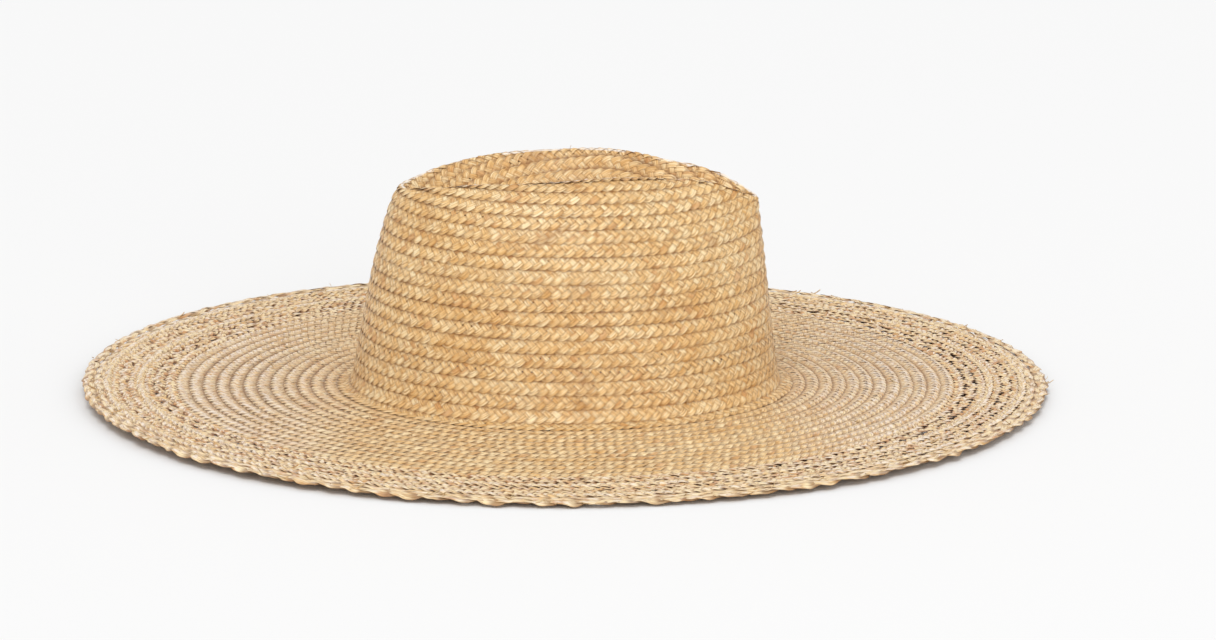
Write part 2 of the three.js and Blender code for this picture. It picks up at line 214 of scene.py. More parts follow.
def lay_skin():
    """Grid of the hat's top by share round it and by length from the dent's floor line outwards, and how far
    each of its points is past the rim's fold. The rows are level on the wall, and every one of them has the
    same place all the way round."""
    lines = meridian_lines()
    foot_index = DENT_STEPS + WALL_STEPS + BEND_STEPS
    steps = np.linalg.norm(np.diff(lines, axis=1), axis=2)
    lengths = np.concatenate([np.zeros((len(lines), 1)), np.cumsum(steps, 1)], 1)
    to_foot = lengths[:, foot_index] - FOOT_BEND
    rows = round(float(to_foot.mean()) / ROW_PITCH)
    crown_length = rows * ROW_PITCH
    count = round((crown_length + BRIM_WIDTH + SKIN_MARGIN) / SKIN_STEP)
    down = np.arange(count + 1) * SKIN_STEP
    grid = np.zeros((MERIDIANS + 1, count + 1, 3))
    past_fold = np.zeros((MERIDIANS + 1, count + 1))
    for i, line in enumerate(lines):
        below = to_foot[i] - lengths[i]
        past_level = (below - LEVEL_WALL) * (crown_length - LEVEL_WALL) / (to_foot[i] - LEVEL_WALL)
        place = crown_length - np.where(below > LEVEL_WALL, LEVEL_WALL + past_level, below)
        grid[i] = resample(line, place, down)
        past_fold[i] = down - place[DENT_STEPS]
    kernel_steps = np.arange(-SOFT_STEPS, SOFT_STEPS + 1) * SKIN_STEP
    kernel = np.exp(-0.5 * (kernel_steps / FOLD_SOFTNESS) ** 2)
    kernel /= kernel.sum()
    padded = np.pad(grid, ((0, 0), (SOFT_STEPS, SOFT_STEPS), (0, 0)), mode="edge")
    soft = sum(kernel[k] * padded[:, k : k + count + 1] for k in range(len(kernel)))
    soft[:, :SOFT_STEPS] = grid[:, :SOFT_STEPS]
    soft[:, -SOFT_STEPS:] = grid[:, -SOFT_STEPS:]
    skin = np.zeros((SKIN_COLUMNS + 1, count + 1, 3))
    fold = np.zeros((SKIN_COLUMNS + 1, count + 1))
    shares = np.linspace(0, 1, SKIN_COLUMNS + 1)
    for j in range(count + 1):
        ring = soft[:, j]
        around = np.concatenate([[0], np.cumsum(np.linalg.norm(np.diff(ring, axis=0), axis=1))])
        skin[:, j] = resample(ring, around / around[-1], shares)
        fold[:, j] = np.interp(shares, around / around[-1], past_fold[:, j])
    return skin, fold, down, crown_length


def unit(vectors):
    """The vectors, each made one long."""
    return vectors / np.maximum(np.linalg.norm(vectors, axis=-1, keepdims=True), 1e-12)


def skin_object(skin, fold, down):
    """The skin as a mesh, with its map and its directions. It guides the plaits and isn't shown."""
    columns, rings = skin.shape[:2]
    index = np.arange(columns * rings).reshape(columns, rings)
    corners = [index[:-1, :-1], index[:-1, 1:], index[1:, 1:], index[1:, :-1]]
    faces = np.stack(corners, -1).reshape(-1, 4)
    mesh = bpy.data.meshes.new("hat_skin")
    mesh.from_pydata(skin.reshape(-1, 3).tolist(), [], faces.tolist())
    open_ring = skin[:-1]
    around = np.roll(open_ring, -1, 0) - np.roll(open_ring, 1, 0)
    around = np.concatenate([around, around[:1]])
    downward = unit(np.gradient(skin, axis=1))
    outward = unit(np.cross(downward, unit(around)))
    for name, values in (("outward", outward), ("downward", downward)):
        layer = mesh.attributes.new(name, "FLOAT_VECTOR", "POINT")
        layer.data.foreach_set("vector", values.astype(np.float32).ravel())
    layer = mesh.attributes.new("past_fold", "FLOAT", "POINT")
    layer.data.foreach_set("value", fold.astype(np.float32).ravel())
    shares = np.linspace(0, 1, columns)
    map_at = np.stack(np.meshgrid(shares, down / down[-1], indexing="ij"), -1).reshape(-1, 2)
    layer = mesh.uv_layers.new(name="skin_map")
    layer.data.foreach_set("uv", map_at[faces.ravel()].astype(np.float32).ravel())
    return bpy.data.objects.new("hat_skin", mesh)


# Node trees
def add(tree, kind, inputs=None, **settings):
    """One node, with its settings, and with its inputs set to values or linked to outputs."""
    node = tree.nodes.new(kind)
    for name, value in settings.items():
        setattr(node, name, value)
    for key, value in (inputs or {}).items():
        if isinstance(value, bpy.types.NodeSocket):
            tree.links.new(value, node.inputs[key])
        else:
            node.inputs[key].default_value = value
    return node


def calc(tree, operation, *values, clamp=False):
    """One step of arithmetic on numbers."""
    inputs = dict(enumerate(values))
    return add(tree, "ShaderNodeMath", inputs, operation=operation, use_clamp=clamp).outputs[0]


def calc_vector(tree, operation, *values):
    """One step of arithmetic on vectors."""
    inputs = dict(enumerate(values))
    if operation == "SCALE":
        inputs = {"Vector": values[0], "Scale": values[1]}
    return add(tree, "ShaderNodeVectorMath", inputs, operation=operation).outputs["Vector"]


def combine(tree, x=0.0, y=0.0, z=0.0):
    """A vector from its three numbers."""
    return add(tree, "ShaderNodeCombineXYZ", {0: x, 1: y, 2: z}).outputs[0]


def remap(tree, value, low, high, start, end):
    """A value's range changed to another, and held within it."""
    return add(tree, "ShaderNodeMapRange", {0: value, 1: low, 2: high, 3: start, 4: end}).outputs[0]


def attribute(tree, name, kind="FLOAT"):
    """A named attribute as a field."""
    return add(tree, "GeometryNodeInputNamedAttribute", {"Name": name}, data_type=kind).outputs["Attribute"]


def store(tree, geometry, name, value, kind="FLOAT", domain="POINT"):
    """The geometry with a value kept on it under a name."""
    inputs = {"Geometry": geometry, "Name": name, "Value": value}
    node = add(tree, "GeometryNodeStoreNamedAttribute", inputs, data_type=kind, domain=domain)
    return node.outputs["Geometry"]


def random_value(tree, low, high, number, seed):
    """A fixed random number for each whole number."""
    inputs = {2: low, 3: high, "ID": number, "Seed": seed}
    return add(tree, "FunctionNodeRandomValue", inputs, data_type="FLOAT").outputs[1]


def wander(tree, place, size, offset):
    """A smooth wandering value round 0 that changes over a size. Its offset keeps it apart from others."""
    moved = calc_vector(tree, "ADD", calc_vector(tree, "SCALE", place, 1 / size), offset)
    inputs = {"Vector": moved, "Scale": 1.0, "Detail": 1.0}
    noise = add(tree, "ShaderNodeTexNoise", inputs, noise_dimensions="3D").outputs[0]
    return calc(tree, "MULTIPLY", calc(tree, "SUBTRACT", noise, 0.5), 2.0)


PLAIT_INPUTS = [
    ("Hat skin", "NodeSocketObject"),
    ("Straw", "NodeSocketMaterial"),
    ("Rows", "NodeSocketInt"),
    ("First row", "NodeSocketFloat"),
    ("Row pitch", "NodeSocketFloat"),
    ("Skin length", "NodeSocketFloat"),
    ("Strands", "NodeSocketInt"),
    ("Period", "NodeSocketFloat"),
    ("Steps in a period", "NodeSocketInt"),
    ("Reach", "NodeSocketFloat"),
    ("Strip width", "NodeSocketFloat"),
    ("Strip thickness", "NodeSocketFloat"),
    ("Strip twist", "NodeSocketFloat"),
    ("Weave height", "NodeSocketFloat"),
    ("Tilt", "NodeSocketFloat"),
    ("Edge curl", "NodeSocketFloat"),
    ("Lift", "NodeSocketFloat"),
    ("Tucked under", "NodeSocketFloat"),
    ("Shade below", "NodeSocketFloat"),
    ("Row wander", "NodeSocketFloat"),
    ("Strand wander", "NodeSocketFloat"),
    ("Wave length", "NodeSocketFloat"),
    ("Wave height", "NodeSocketFloat"),
    ("Seed", "NodeSocketInt"),
]
TURN_ROUNDNESS = 0.8  # 1 would fold a strand sharply at the plait's edge
ROW_SAMPLES = 240  # points of a row when it is first laid on the skin
STRAND_NUMBERS = 64.0  # more than the strands of a row, so that every strip has a number of its own
MAP_MARGIN = 1e-5  # keeps a share inside the skin's map
JOIN_SHARE = 1e-4  # the part of a row at each end in which its strips are joined
START_MARGIN = 0.3 * MM  # from the dent's floor line to the first straw
FULL_CURL = 1.25  # a plait's edge curls down no more past this many reaches
TUCK_FADE = 0.6 * MM  # the shade below a lapping row fades out over this
NOT_TUCKED = -1.0  # far outside a plait, so that none of it is shaded by the row above
SHADE_START = 0.3  # a strip is shaded from this height in the weave, and fully at the next one
SHADE_FULL = -0.4
CREST_PLACE = 0.55  # the highest part of a row, in reaches from its middle
CREST_FALL = 1.3
SHARP_EDGE = 0.9  # a strip's edges are those past this share of its half width
JOIN_DISTANCE = 0.25 * MM

# Sizes over which a plait wanders, and how much, where no input gives it
ROW_WANDER_SIZE = 26 * MM
STRAND_WANDER_SIZE = 9 * MM
HEIGHT_WANDER_SIZE = 7 * MM
HEIGHT_WANDER = 0.12 * MM
TWIST_WANDER_SIZE = 6 * MM
WAVE_WANDER_SIZE = 13 * MM
WAVE_WANDER = 1.8
MIDDLE_WAVE = 0.75
WIDTH_WANDER_SIZE = 8 * MM
WIDTH_WANDER = 0.4
NARROWEST_STRIP = 0.88
WIDEST_STRIP = 1.06


def sample_skin(tree, skin_mesh, share, place, skin_length):
    """Point, outward and downward directions of the hat's skin at a share round it and a length down it,
    and the distance there past the rim's fold."""
    share = calc(tree, "MINIMUM", calc(tree, "MAXIMUM", share, MAP_MARGIN), 1 - MAP_MARGIN)
    at = combine(tree, share, calc(tree, "DIVIDE", place, skin_length))
    skin_map = attribute(tree, "skin_map", "FLOAT_VECTOR")
    position = add(tree, "GeometryNodeInputPosition").outputs[0]
    outward = attribute(tree, "outward", "FLOAT_VECTOR")
    downward = attribute(tree, "downward", "FLOAT_VECTOR")
    found = []
    for value in (position, outward, downward):
        inputs = {"Mesh": skin_mesh, "Value": value, "UV Map": skin_map, "Sample UV": at}
        found.append(add(tree, "GeometryNodeSampleUVSurface", inputs, data_type="FLOAT_VECTOR").outputs[0])
    inputs = {"Mesh": skin_mesh, "Value": attribute(tree, "past_fold"), "UV Map": skin_map, "Sample UV": at}
    found.append(add(tree, "GeometryNodeSampleUVSurface", inputs, data_type="FLOAT").outputs[0])
    return found


def strand_course(tree, phase, strands):
    """Across and up places of a strand, both from -1 to 1, at its phase in the plait's period. It crosses
    over and under each strand that runs the other way, and turns back at each edge."""
    swing = calc(tree, "SINE", calc(tree, "MULTIPLY", calc(tree, "SUBTRACT", phase, 0.25), math.tau))
    fold = calc(tree, "ARCSINE", calc(tree, "MULTIPLY", swing, TURN_ROUNDNESS))
    across = calc(tree, "DIVIDE", fold, math.asin(TURN_ROUNDNESS))
    crossing = calc(tree, "MULTIPLY", calc(tree, "MULTIPLY", phase, strands), 2.0)
    first = calc(tree, "MULTIPLY", calc(tree, "MINIMUM", crossing, 1.0), 0.5)
    far = calc(tree, "SUBTRACT", crossing, calc(tree, "SUBTRACT", strands, 1.0))
    middle = calc(tree, "MULTIPLY", far, 0.5, clamp=True)
    last_start = calc(tree, "SUBTRACT", calc(tree, "MULTIPLY", strands, 2.0), 1.0)
    near = calc(tree, "SUBTRACT", crossing, last_start)
    last = calc(tree, "MULTIPLY", calc(tree, "MAXIMUM", near, 0.0), 0.5)
    passed = calc(tree, "SUBTRACT", crossing, calc(tree, "ADD", calc(tree, "ADD", first, middle), last))
    up = calc(tree, "MULTIPLY", calc(tree, "SINE", calc(tree, "MULTIPLY", passed, math.pi)), -1.0)
    return across, up


def strip_profile(tree, width, thickness):
    """Cross-section of a strip: flat below and crested above, with its places across kept from -1 to 1. A
    triangle in a circle is one and a half radii high, and the root of three radii wide."""
    circle = add(tree, "GeometryNodeCurvePrimitiveCircle", {"Resolution": 3, "Radius": 1.0}, mode="RADIUS")
    high = calc(tree, "DIVIDE", thickness, 1.5)
    wide = calc(tree, "DIVIDE", width, math.sqrt(3))
    inputs = {"Geometry": circle.outputs["Curve"], "Scale": combine(tree, high, wide, 1.0)}
    sized = add(tree, "GeometryNodeTransform", inputs).outputs[0]
    position = add(tree, "GeometryNodeInputPosition").outputs[0]
    place = add(tree, "ShaderNodeSeparateXYZ", {0: position}).outputs[1]
    across = calc(tree, "DIVIDE", place, calc(tree, "MULTIPLY", width, 0.5))
    return store(tree, sized, "across", across)


def plaited_straw_tree():
    """Closed rows of a flat plait, laid round the hat's skin."""
    tree = bpy.data.node_groups.new("plaited_straw", "GeometryNodeTree")
    tree.interface.new_socket("Geometry", in_out="OUTPUT", socket_type="NodeSocketGeometry")
    for name, kind in PLAIT_INPUTS:
        tree.interface.new_socket(name, in_out="INPUT", socket_type=kind)
    given = add(tree, "NodeGroupInput").outputs
    skin_mesh = add(tree, "GeometryNodeObjectInfo", {"Object": given["Hat skin"]}).outputs["Geometry"]
    skin_length = given["Skin length"]
    seed = given["Seed"]

    # Rows, first laid out flat by share round the hat and length down it, then set on the skin
    line = add(tree, "GeometryNodeCurvePrimitiveLine", {"Start": (0, 0, 0), "End": (1, 0, 0)}).outputs[0]
    line = add(tree, "GeometryNodeResampleCurve", {"Curve": line, "Count": ROW_SAMPLES}).outputs[0]
    inputs = {
        "Count": given["Rows"],
        "Start Location": combine(tree, 0.0, given["First row"]),
        "Offset": combine(tree, 0.0, given["Row pitch"]),
    }
    starts = add(tree, "GeometryNodeMeshLine", inputs, mode="OFFSET").outputs[0]
    rows = add(tree, "GeometryNodeInstanceOnPoints", {"Points": starts, "Instance": line}).outputs[0]
    rows = add(tree, "GeometryNodeRealizeInstances", {"Geometry": rows}).outputs[0]
    position = add(tree, "GeometryNodeInputPosition").outputs[0]
    rows = store(tree, rows, "skin_place", position, "FLOAT_VECTOR")
    index = add(tree, "GeometryNodeInputIndex").outputs[0]
    rows = store(tree, rows, "row", index, "INT", "CURVE")
    laid = add(tree, "ShaderNodeSeparateXYZ", {0: attribute(tree, "skin_place", "FLOAT_VECTOR")}).outputs
    point = sample_skin(tree, skin_mesh, laid[0], laid[1], skin_length)[0]
    rows = add(tree, "GeometryNodeSetPosition", {"Geometry": rows, "Position": point}).outputs[0]

    # A whole number of periods in each row
    length = add(tree, "GeometryNodeSplineLength").outputs["Length"]
    periods = calc(tree, "ROUND", calc(tree, "DIVIDE", length, given["Period"]))
    periods = calc(tree, "MAXIMUM", periods, 2.0)
    rows = store(tree, rows, "periods", periods, "FLOAT", "CURVE")
    waves = calc(tree, "ROUND", calc(tree, "DIVIDE", length, given["Wave length"]))
    rows = store(tree, rows, "waves", waves, "FLOAT", "CURVE")
    periods = attribute(tree, "periods")
    count = calc(tree, "ADD", calc(tree, "MULTIPLY", periods, given["Steps in a period"]), 1.0)
    rows = add(tree, "GeometryNodeResampleCurve", {"Curve": rows, "Count": count}).outputs[0]

    # One strip for each strand
    inputs = {"Geometry": rows, "Amount": given["Strands"]}
    copies = add(tree, "GeometryNodeDuplicateElements", inputs, domain="SPLINE")
    strips = store(tree, copies.outputs[0], "strand", copies.outputs["Duplicate Index"], "INT", "CURVE")
    strand = attribute(tree, "strand", "INT")
    row = attribute(tree, "row", "INT")
    number = calc(tree, "ADD", calc(tree, "MULTIPLY", row, STRAND_NUMBERS), strand)
    row_shift = random_value(tree, 0.0, 1.0, row, seed)
    turns = calc(tree, "ADD", calc(tree, "MULTIPLY", laid[0], periods), row_shift)
    strand_shift = calc(tree, "DIVIDE", strand, given["Strands"])
    phase = calc(tree, "FRACT", calc(tree, "ADD", turns, strand_shift))
    across, up = strand_course(tree, phase, given["Strands"])

    # Where each point of a strip lies on the skin and how far it stands off it
    apart = combine(tree, 3.1, calc(tree, "MULTIPLY", row, 5.3), seed)
    row_wave = wander(tree, position, ROW_WANDER_SIZE, apart)
    apart = combine(tree, calc(tree, "MULTIPLY", strand, 7.7), 1.9, seed)
    strand_wave = wander(tree, position, STRAND_WANDER_SIZE, apart)
    apart = combine(tree, 8.3, calc(tree, "MULTIPLY", strand, 3.7), seed)
    height_wave = wander(tree, position, HEIGHT_WANDER_SIZE, apart)
    sway = calc(tree, "MULTIPLY", across, given["Reach"])
    sway = calc(tree, "ADD", sway, calc(tree, "MULTIPLY", strand_wave, given["Strand wander"]))
    place = calc(tree, "ADD", laid[1], sway)
    place = calc(tree, "ADD", place, calc(tree, "MULTIPLY", row_wave, given["Row wander"]))

    # Every second row of an open plait waves, and leaves eye-shaped holes on either side of it
    wave_turn = calc(tree, "MULTIPLY", calc(tree, "MULTIPLY", laid[0], attribute(tree, "waves")), math.tau)
    wave_size = wander(tree, position, WAVE_WANDER_SIZE, combine(tree, 2.7, 6.1, seed))
    wave_size = calc(tree, "MULTIPLY", wave_size, WAVE_WANDER)
    wave_size = calc(tree, "ADD", wave_size, MIDDLE_WAVE, clamp=True)
    wave_size = calc(tree, "MULTIPLY", wave_size, given["Wave height"])
    wave = calc(tree, "MULTIPLY", calc(tree, "POWER", calc(tree, "SINE", wave_turn), 3.0), wave_size)
    wave = calc(tree, "MULTIPLY", wave, calc(tree, "MODULO", row, 2.0))
    place = calc(tree, "ADD", place, wave)
    place = calc(tree, "MAXIMUM", place, START_MARGIN)

    # A plait leans out towards its lower edge, which curls back in
    out = calc(tree, "DIVIDE", calc(tree, "MAXIMUM", sway, 0.0), given["Reach"])
    out = calc(tree, "MINIMUM", out, FULL_CURL)
    curl = calc(tree, "MULTIPLY", calc(tree, "POWER", out, 3.0), given["Edge curl"])
    height = calc(tree, "ADD", given["Lift"], calc(tree, "MULTIPLY", sway, given["Tilt"]))
    height = calc(tree, "SUBTRACT", height, curl)
    curl_share = calc(tree, "DIVIDE", given["Edge curl"], given["Reach"])
    drop = calc(tree, "MULTIPLY", calc(tree, "POWER", out, 2.0), curl_share)
    slope = calc(tree, "SUBTRACT", given["Tilt"], calc(tree, "MULTIPLY", drop, 3.0))
    height = calc(tree, "ADD", height, calc(tree, "MULTIPLY", up, given["Weave height"]))
    height = calc(tree, "ADD", height, calc(tree, "MULTIPLY", height_wave, HEIGHT_WANDER))
    apart = combine(tree, 4.9, calc(tree, "MULTIPLY", strand, 9.1), seed)
    twist_wave = wander(tree, position, TWIST_WANDER_SIZE, apart)
    slope = calc(tree, "ADD", slope, calc(tree, "MULTIPLY", twist_wave, given["Strip twist"]))
    depth = remap(tree, up, SHADE_START, SHADE_FULL, 0.0, given["Shade below"])
    apart = combine(tree, 6.7, calc(tree, "MULTIPLY", strand, 5.9), seed)
    width_wave = wander(tree, position, WIDTH_WANDER_SIZE, apart)
    breadth = random_value(tree, NARROWEST_STRIP, WIDEST_STRIP, number, calc(tree, "ADD", seed, 2.0))
    breadth = calc(tree, "ADD", breadth, calc(tree, "MULTIPLY", width_wave, WIDTH_WANDER))
    strips = store(tree, strips, "place", place)
    strips = store(tree, strips, "height", height)
    strips = store(tree, strips, "slope", slope)
    strips = store(tree, strips, "sway", sway)
    strips = store(tree, strips, "depth", depth)
    strips = store(tree, strips, "breadth", breadth)
    along = calc(tree, "MULTIPLY", calc(tree, "MULTIPLY", laid[0], periods), given["Period"])
    strips = store(tree, strips, "along", along)
    shade = random_value(tree, 0.0, 1.0, number, calc(tree, "ADD", seed, 1.0))
    strips = store(tree, strips, "shade", shade)

    # The strips set on the skin, with their flat sides along it
    place = attribute(tree, "place")
    height = attribute(tree, "height")
    point, outward, downward, past_fold = sample_skin(tree, skin_mesh, laid[0], place, skin_length)
    strips = store(tree, strips, "past_fold", past_fold)
    lifted = calc_vector(tree, "ADD", point, calc_vector(tree, "SCALE", outward, height))
    strips = add(tree, "GeometryNodeSetPosition", {"Geometry": strips, "Position": lifted}).outputs[0]
    leaning = calc_vector(tree, "SCALE", downward, attribute(tree, "slope"))
    facing = calc_vector(tree, "NORMALIZE", calc_vector(tree, "SUBTRACT", outward, leaning))
    inputs = {"Curve": strips, "Normal": facing}
    strips = add(tree, "GeometryNodeSetCurveNormal", inputs, mode="FREE").outputs[0]

    # How far the strip's own width reaches down the skin, by the way it runs
    tangent = add(tree, "GeometryNodeInputTangent").outputs[0]
    inputs = {0: tangent, 1: downward}
    run = add(tree, "ShaderNodeVectorMath", inputs, operation="DOT_PRODUCT").outputs["Value"]
    aslant = calc(tree, "SUBTRACT", 1.0, calc(tree, "MULTIPLY", run, run))
    aslant = calc(tree, "SQRT", calc(tree, "MAXIMUM", aslant, 0.0))
    half_width = calc(tree, "MULTIPLY", given["Strip width"], 0.5)
    half_width = calc(tree, "MULTIPLY", half_width, attribute(tree, "breadth"))
    strips = store(tree, strips, "half_reach", calc(tree, "MULTIPLY", aslant, half_width))
    profile = strip_profile(tree, given["Strip width"], given["Strip thickness"])
    inputs = {"Curve": strips, "Profile Curve": profile, "Scale": attribute(tree, "breadth")}
    mesh = add(tree, "GeometryNodeCurveToMesh", inputs).outputs[0]

    # Painted shade: darker where a strip goes down between others and where the row above laps over it
    from_strip = calc(tree, "MULTIPLY", attribute(tree, "across"), attribute(tree, "half_reach"))
    sway_there = calc(tree, "ADD", attribute(tree, "sway"), from_strip)
    fade_end = calc(tree, "ADD", given["Tucked under"], TUCK_FADE)
    tuck = remap(tree, sway_there, given["Tucked under"], fade_end, 1.0, 0.0)
    mesh = store(tree, mesh, "shadow", calc(tree, "MAXIMUM", tuck, attribute(tree, "depth")))
    # Each row's crest, where the straw is given a painted sheen highlight
    rise = calc(tree, "DIVIDE", sway_there, given["Reach"])
    from_crest = calc(tree, "ABSOLUTE", calc(tree, "SUBTRACT", rise, CREST_PLACE))
    crest = calc(tree, "SUBTRACT", 1.0, calc(tree, "MULTIPLY", from_crest, CREST_FALL))
    mesh = store(tree, mesh, "crest", calc(tree, "MAXIMUM", crest, 0.0))
    mesh = store(tree, mesh, "past_fold", calc(tree, "ADD", attribute(tree, "past_fold"), from_strip))

    # Each strip's own map, and its two ends joined
    strip_map = combine(tree, attribute(tree, "along"), attribute(tree, "across"))
    mesh = store(tree, mesh, "strip_map", strip_map, "FLOAT2", "CORNER")
    from_middle = calc(tree, "ABSOLUTE", calc(tree, "SUBTRACT", laid[0], 0.5))
    at_ends = calc(tree, "GREATER_THAN", from_middle, 0.5 - JOIN_SHARE)
    inputs = {"Geometry": mesh, "Selection": at_ends, "Distance": JOIN_DISTANCE}
    mesh = add(tree, "GeometryNodeMergeByDistance", inputs).outputs[0]
    mesh = add(tree, "GeometryNodeSetShadeSmooth", {"Geometry": mesh, "Shade Smooth": True}).outputs[0]
    at_edge = calc(tree, "GREATER_THAN", calc(tree, "ABSOLUTE", attribute(tree, "across")), SHARP_EDGE)
    inputs = {"Geometry": mesh, "Selection": at_edge, "Shade Smooth": False}
    mesh = add(tree, "GeometryNodeSetShadeSmooth", inputs, domain="EDGE").outputs[0]
    mesh = add(tree, "GeometryNodeRealizeInstances", {"Geometry": mesh}).outputs[0]
    mesh = add(tree, "GeometryNodeSetMaterial", {"Geometry": mesh, "Material": given["Straw"]}).outputs[0]
    add(tree, "NodeGroupOutput", {"Geometry": mesh})
    return tree


LOOSE_INPUTS = [
    ("Hat skin", "NodeSocketObject"),
    ("Straw", "NodeSocketMaterial"),
    ("Skin length", "NodeSocketFloat"),
    ("Ends in a square metre", "NodeSocketFloat"),
    ("Times more at the edge", "NodeSocketFloat"),
    ("Edge start", "NodeSocketFloat"),
    ("Edge end", "NodeSocketFloat"),
    ("Length", "NodeSocketFloat"),
    ("Width", "NodeSocketFloat"),
    ("Thickness", "NodeSocketFloat"),
    ("Seed", "NodeSocketInt"),
]
LOOSE_STEPS = 6
LOOSE_ROOT = -2.0  # a loose end starts this many thicknesses under the straw
LOOSE_MIDDLE = (0.6, 0.0, 0.05)  # its course, in its own lengths
LOOSE_END = (1.0, 0.15, 0.3)
SHORTEST_LOOSE = 0.4
LONGEST_LOOSE = 1.2
LOOSE_MARGIN = 1.5 * MM  # from the brim's edge


def loose_ends_tree():
    """Short ends of raffia that have worked loose and stand a little off the hat."""
    tree = bpy.data.node_groups.new("loose_ends", "GeometryNodeTree")
    tree.interface.new_socket("Geometry", in_out="OUTPUT", socket_type="NodeSocketGeometry")
    for name, kind in LOOSE_INPUTS:
        tree.interface.new_socket(name, in_out="INPUT", socket_type=kind)
    given = add(tree, "NodeGroupInput").outputs
    skin_mesh = add(tree, "GeometryNodeObjectInfo", {"Object": given["Hat skin"]}).outputs["Geometry"]
    length = given["Length"]
    low = calc(tree, "MULTIPLY", given["Thickness"], LOOSE_ROOT)
    inputs = {
        "Resolution": LOOSE_STEPS,
        "Start": combine(tree, 0.0, 0.0, low),
        "Middle": calc_vector(tree, "SCALE", LOOSE_MIDDLE, length),
        "End": calc_vector(tree, "SCALE", LOOSE_END, length),
    }
    line = add(tree, "GeometryNodeCurveQuadraticBezier", inputs).outputs[0]
    share = add(tree, "GeometryNodeSplineParameter").outputs[0]
    line = store(tree, line, "along", calc(tree, "MULTIPLY", share, length))
    profile = strip_profile(tree, given["Width"], given["Thickness"])
    inputs = {"Curve": line, "Profile Curve": profile, "Fill Caps": True}
    end_mesh = add(tree, "GeometryNodeCurveToMesh", inputs).outputs[0]
    skin_map = attribute(tree, "skin_map", "FLOAT_VECTOR")
    down_skin = add(tree, "ShaderNodeSeparateXYZ", {0: skin_map}).outputs[1]
    down_skin = calc(tree, "MULTIPLY", down_skin, given["Skin length"])
    on_edge = calc(tree, "GREATER_THAN", down_skin, given["Edge start"])
    density = calc(tree, "ADD", calc(tree, "MULTIPLY", on_edge, given["Times more at the edge"]), 1.0)
    density = calc(tree, "MULTIPLY", density, given["Ends in a square metre"])
    density = calc(tree, "MULTIPLY", density, calc(tree, "LESS_THAN", down_skin, given["Edge end"]))
    inputs = {"Mesh": skin_mesh, "Density": density, "Seed": given["Seed"]}
    spread = add(tree, "GeometryNodeDistributePointsOnFaces", inputs, distribute_method="RANDOM").outputs
    number = add(tree, "GeometryNodeInputIndex").outputs[0]
    shade = random_value(tree, 0.0, 1.0, number, given["Seed"])
    points = store(tree, spread["Points"], "shade", shade)
    inputs = {"Points": points, "Instance": end_mesh, "Rotation": spread["Rotation"]}
    ends = add(tree, "GeometryNodeInstanceOnPoints", inputs).outputs[0]
    turn = random_value(tree, 0.0, math.tau, number, calc(tree, "ADD", given["Seed"], 1.0))
    inputs = {"Instances": ends, "Rotation": combine(tree, 0.0, 0.0, turn), "Local Space": True}
    ends = add(tree, "GeometryNodeRotateInstances", inputs).outputs[0]
    size_seed = calc(tree, "ADD", given["Seed"], 2.0)
    size = random_value(tree, SHORTEST_LOOSE, LONGEST_LOOSE, number, size_seed)
    inputs = {"Instances": ends, "Scale": combine(tree, size, 1.0, size), "Local Space": True}
    ends = add(tree, "GeometryNodeScaleInstances", inputs).outputs[0]
    mesh = add(tree, "GeometryNodeRealizeInstances", {"Geometry": ends}).outputs[0]
    strip_map = combine(tree, attribute(tree, "along"), attribute(tree, "across"))
    mesh = store(tree, mesh, "strip_map", strip_map, "FLOAT2", "CORNER")
    mesh = add(tree, "GeometryNodeSetMaterial", {"Geometry": mesh, "Material": given["Straw"]}).outputs[0]
    add(tree, "NodeGroupOutput", {"Geometry": mesh})
    return tree


def plait(name, tree, inputs, node):
    """A piece made by a tree, as a plain mesh that rides on the hat and may replace one of its nodes."""
    maker = bpy.data.objects.new(name + "_maker", bpy.data.meshes.new(name + "_maker"))
    bpy.context.scene.collection.objects.link(maker)
    modifier = maker.modifiers.new("plait", "NODES")
    modifier.node_group = tree
    for item in tree.interface.items_tree:
        if item.in_out == "INPUT":
            modifier[item.identifier] = inputs[item.name]
    graph = bpy.context.evaluated_depsgraph_get()
    mesh = bpy.data.meshes.new_from_object(maker.evaluated_get(graph), depsgraph=graph)
    mesh.name = name
    bpy.data.objects.remove(maker)
    piece = bpy.data.objects.new(name, mesh)
    bpy.context.scene.collection.objects.link(piece)
    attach(piece, "root")
    if node:
        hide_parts(node)


# Straw
def mix_colour(tree, share, first, second):
    """A colour between two others."""
    inputs = {0: share, 6: first, 7: second}
    return add(tree, "ShaderNodeMix", inputs, data_type="RGBA").outputs[2]


def fibre_noise(tree, place, shade, along, across, detail, offset):
    """Streaks along a strip, by their number a metre along it and a half width across it."""
    at = combine(
        tree,
        calc(tree, "MULTIPLY", place[0], along),
        calc(tree, "MULTIPLY", place[1], across),
        calc(tree, "ADD", calc(tree, "MULTIPLY", shade, 91.0), offset),
    )
    return add(tree, "ShaderNodeTexNoise", {"Vector": at, "Scale": 1.0, "Detail": detail}).outputs[0]


def body_noise(tree, body, scale, detail):
    """A soft pattern over the whole hat, by its number in a metre."""
    return add(tree, "ShaderNodeTexNoise", {"Vector": body, "Scale": scale, "Detail": detail}).outputs[0]


